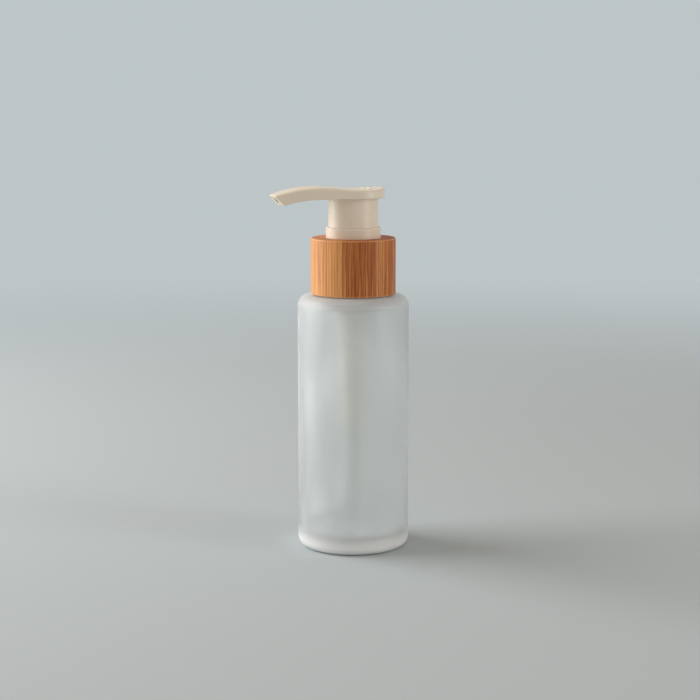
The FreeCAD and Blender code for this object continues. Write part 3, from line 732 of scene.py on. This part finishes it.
def pad_height(head):
    """Height of the pad's top along X: a quartic through the head's highest points between its rims."""
    points = np.empty(len(head.data.vertices) * 3, np.float32)
    head.data.vertices.foreach_get("co", points)
    points = points.reshape(-1, 3).astype(float)
    high_enough = points[:, 2] > points[:, 2].max() - PAD_DEPTH
    points = points[(np.abs(points[:, 0]) < PAD_REACH) & high_enough]
    cell = np.round(points[:, 0] / PAD_CELL).astype(int)
    top = np.full(cell.max() - cell.min() + 1, -1.0)
    np.maximum.at(top, cell - cell.min(), points[:, 2])
    best = points[points[:, 2] > top[cell - cell.min()] - PAD_SKIN]
    return np.polynomial.Polynomial.fit(best[:, 0], best[:, 2], PAD_DEGREE)


def arrow_surface(size, top):
    """Points of the raised arrow: a low flat-topped section carried along an arc about the stem.

    Half the section's width is constant along the shaft, then grows at once to the barbs and tapers almost
    to nothing at the point. Each point stands at the pad's height at its x plus the section's own height.
    """
    section = np.array(ARROW_SECTION)
    shaft = np.linspace(ARROW_TAIL, ARROW_NECK, SHAFT_ROWS)
    tip = np.linspace(ARROW_BARB, ARROW_POINT, TIP_ROWS)
    angle = np.concatenate([shaft, tip])[:, None]
    widths = np.concatenate([np.full(SHAFT_ROWS, 1.0), np.linspace(BARB_WIDTH, POINT_WIDTH, TIP_ROWS)])
    half = widths[:, None] * size.arrow_width / 2
    radius = size.arrow_radius + half * section[None, :, 0]
    x = radius * np.cos(angle)
    y = radius * np.sin(angle)
    z = top(x) + size.arrow_height * section[None, :, 1]
    return np.stack([x, y, z], axis=-1)


def spring_surface(size):
    """Points of the spring: a circle of wire carried up a helix about the Z axis.

    The height is the running sum of the pitch, which eases from the close end turns to the open ones and
    back, and is stretched to fill the spring's room. Around the wire, a point is the centre plus half the
    wire's thickness times cos b along the coil's radius and sin b along the tangent crossed with that
    radius.
    """
    turns = size.turns + END_TURNS
    turn = np.linspace(0, turns, WIRE_STEPS * turns + 1)
    opened = np.cumsum(smooth(turn - EASE_START) * smooth(turns - EASE_START - turn))
    close = size.end_pitch * turn
    rise = SPRING_HIGH.z - SPRING_LOW.z - size.wire - close[-1]
    height = SPRING_LOW.z + size.wire / 2 + close + rise * opened / opened[-1]
    angle = 2 * np.pi * turn
    radial = np.stack([np.cos(angle), np.sin(angle), 0 * angle], axis=1)
    line = radial * size.coil_radius + np.outer(height, (0, 0, 1))
    along = np.gradient(line, axis=0)
    along = along - radial * (along * radial).sum(axis=1, keepdims=True)
    along = along / np.linalg.norm(along, axis=1, keepdims=True)
    side = np.cross(along, radial)
    around = np.linspace(0, 2 * np.pi, WIRE_SIDES, endpoint=False)[None, :, None]
    ring = np.cos(around) * radial[:, None] + np.sin(around) * side[:, None]
    return line[:, None] + ring * size.wire / 2


def dress(node, material):
    """Give a CAD node one material."""
    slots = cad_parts[node].data.materials
    slots.clear()
    slots.append(material)


class BOTTLE_OT_glass(Operator):
    """Make the frosted glass bottle with its threaded neck"""
    bl_idname = "oil_bottle.glass"
    bl_label = "Glass bottle"

    def execute(self, context):
        size = context.scene.oil_bottle.glass
        grid, mouth = bottle_surface(size)
        glass = closed_grid("glass_bottle", grid)
        glass.data.materials.append(frosted_glass(size))
        glass.data.materials.append(inner_glass(size))
        rows, columns = grid.shape[:2]
        inside = np.append(np.arange(rows - 1) >= mouth, [False, True])
        index = np.repeat(inside, columns).astype(np.int32)
        glass.data.polygons.foreach_set("material_index", index)
        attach(glass, "bottle")
        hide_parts("bottle")
        return {"FINISHED"}


class BOTTLE_OT_bamboo(Operator):
    """Finish the bamboo sleeve and the closure inside it"""
    bl_idname = "oil_bottle.bamboo"
    bl_label = "Bamboo collar"

    def execute(self, context):
        settings = context.scene.oil_bottle
        dress("bamboo_sleeve", bamboo(settings.bamboo))
        dress("screw_closure", moulded("white_plastic", settings.plastic.white, roughness=0.42))
        return {"FINISHED"}


class BOTTLE_OT_head(Operator):
    """Finish the pump head and the ring, and raise the arrow on the pad"""
    bl_idname = "oil_bottle.head"
    bl_label = "Pump head"

    def execute(self, context):
        settings = context.scene.oil_bottle.plastic
        ivory = moulded("ivory_plastic", settings.ivory, roughness=0.34)
        dress("actuator_head", ivory)
        dress("lock_sleeve", ivory)
        top = pad_height(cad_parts["actuator_head"])
        arrow = closed_grid("pad_arrow", arrow_surface(settings, top))
        arrow.data.materials.append(ivory)
        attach(arrow, "head")
        return {"FINISHED"}


class BOTTLE_OT_pump(Operator):
    """Finish the pieces of the pump inside the bottle"""
    bl_idname = "oil_bottle.pump"
    bl_label = "Pump inside"

    def execute(self, context):
        settings = context.scene.oil_bottle.plastic
        natural = moulded("natural_plastic", settings.natural, roughness=0.4)
        dress("pump_housing", natural)
        dress("valve_rod", natural)
        dress("main_post", moulded("stem_plastic", settings.white, roughness=0.3))
        dress("piston", moulded("soft_plastic", settings.white, roughness=0.5))
        dress("neck_gasket", moulded("gasket_rubber", settings.gasket, roughness=0.6))
        dress("inlet_ball", ball_glass(settings.ball))
        dress("dip_tube", milky("tube_plastic", settings.tube, veil=0.6))
        return {"FINISHED"}


class BOTTLE_OT_spring(Operator):
    """Wind the return spring at its rest length; the real spring shortens when the head is pressed"""
    bl_idname = "oil_bottle.spring"
    bl_label = "Return spring"

    def execute(self, context):
        size = context.scene.oil_bottle.spring
        spring = closed_grid("coil_spring", spring_surface(size))
        spring.data.materials.append(drawn_wire(size.steel))
        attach(spring, "pump")
        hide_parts("return_spring")
        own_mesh(spring)
        return {"FINISHED"}


class BOTTLE_OT_stage(Operator):
    """Lay the floor, hang the lights and place the camera"""
    bl_idname = "oil_bottle.stage"
    bl_label = "Stage"

    def execute(self, context):
        stage = context.scene.oil_bottle.stage
        context.scene.view_settings.view_transform = "Standard"
        lay_floor(stage)
        light_air(stage)
        right = (math.cos(stage.turn), math.sin(stage.turn), 0.0)
        front = (math.sin(stage.turn), -math.cos(stage.turn), 0.0)
        seen = np.array((right, front, (0.0, 0.0, 1.0)))
        hang_lamp("key_lamp", KEY_PLACE @ seen, KEY_SIZE, stage.key)
        hang_lamp("fill_lamp", FILL_PLACE @ seen, FILL_SIZE, stage.fill)
        camera = bpy.data.objects.new("camera", bpy.data.cameras.new("camera"))
        context.scene.collection.objects.link(camera)
        camera.data.lens = stage.lens
        camera.location = (stage.aside, stage.distance, stage.height) @ seen
        half_pixel = math.atan(0.5 / PICTURE_WIDTH * SENSOR_WIDTH / stage.lens)
        camera.rotation_euler = (math.pi / 2 - stage.tilt + half_pixel, 0.0, stage.turn + half_pixel)
        context.scene.camera = camera
        return {"FINISHED"}


def lay_floor(stage):
    """A wide flat disc whose shading fades into the colour of the air with the distance from the bottle."""
    angle = np.linspace(0, 2 * np.pi, GROUND_SIDES, endpoint=False)
    rim = GROUND_RADIUS * np.stack([np.cos(angle), np.sin(angle), 0 * angle], axis=-1)
    mesh = bpy.data.meshes.new("floor")
    mesh.from_pydata(rim, [], [list(range(GROUND_SIDES))])
    floor = bpy.data.objects.new("floor", mesh)
    bpy.context.scene.collection.objects.link(floor)
    material, paint = painted("floor")
    x, y = paint.axes(paint.place())[:2]
    distance = (x * x + y * y).math("SQRT")
    near = paint.shader({
        "Base Color": four(stage.ground), "Roughness": GROUND_ROUGHNESS, "Specular IOR Level": 0.0})
    far = paint.node("ShaderNodeEmission", None, {"Color": four(stage.ground)})
    paint.show(paint.blended(paint.between(distance, *GROUND_FADE), near, far))
    mesh.materials.append(material)


def light_air(stage):
    """An even light from all around, seen as the floor's colour directly, in gloss and through glass."""
    world = bpy.data.worlds.new("air")
    world.use_nodes = True
    paint = Paint(world.node_tree)
    rays = [paint.node("ShaderNodeLightPath", output=name)
            for name in ("Is Camera Ray", "Is Glossy Ray", "Is Transmission Ray")]
    seen = rays[0].math("MAXIMUM", rays[1]).math("MAXIMUM", rays[2])
    tone = paint.mixed(seen, stage.ambient, stage.ground)
    background = paint.node("ShaderNodeBackground", None, {"Color": tone})
    paint.node("ShaderNodeOutputWorld", None, {"Surface": background})
    bpy.context.scene.world = world


def hang_lamp(name, place, size, watts):
    """A soft rectangular lamp that faces the middle of the bottle."""
    data = bpy.data.lights.new(name, "AREA")
    data.shape = "RECTANGLE"
    data.size, data.size_y = size
    data.energy = watts
    lamp = bpy.data.objects.new(name, data)
    bpy.context.scene.collection.objects.link(lamp)
    lamp.location = place
    aim = lamp.location.copy()
    aim.z -= AIM_HEIGHT
    lamp.rotation_euler = aim.to_track_quat("Z", "Y").to_euler()


class BOTTLE_PT_panel(Panel):
    """Lists the steps and the settings of the bottle"""
    bl_idname = "BOTTLE_PT_panel"
    bl_label = "Pump oil bottle"
    bl_space_type = "VIEW_3D"
    bl_region_type = "UI"
    bl_category = "Oil bottle"

    def draw(self, context):
        settings = context.scene.oil_bottle
        for group in (settings.glass, settings.bamboo, settings.plastic, settings.spring, settings.stage):
            box = self.layout.box()
            for name in group.__annotations__:
                box.prop(group, name)
        for step in STEPS:
            self.layout.operator(step.bl_idname)


STEPS = (
    BOTTLE_OT_glass, BOTTLE_OT_bamboo, BOTTLE_OT_head, BOTTLE_OT_pump, BOTTLE_OT_spring, BOTTLE_OT_stage)
GROUPS = (GlassSettings, BambooSettings, PlasticSettings, SpringSettings, StageSettings, BottleSettings)
CLASSES = (*GROUPS, *STEPS, BOTTLE_PT_panel)


def register():
    """Register the classes and hang the settings on the scene."""
    for item in CLASSES:
        bpy.utils.register_class(item)
    bpy.types.Scene.oil_bottle = PointerProperty(type=BottleSettings)


def unregister():
    """Take the settings and the classes away again."""
    del bpy.types.Scene.oil_bottle
    for item in reversed(CLASSES):
        bpy.utils.unregister_class(item)


def main():
    """Run every step in order."""
    register()
    bpy.ops.oil_bottle.glass()
    bpy.ops.oil_bottle.bamboo()
    bpy.ops.oil_bottle.head()
    bpy.ops.oil_bottle.pump()
    bpy.ops.oil_bottle.spring()
    bpy.ops.oil_bottle.stage()


if __name__ == "__main__":
    main()
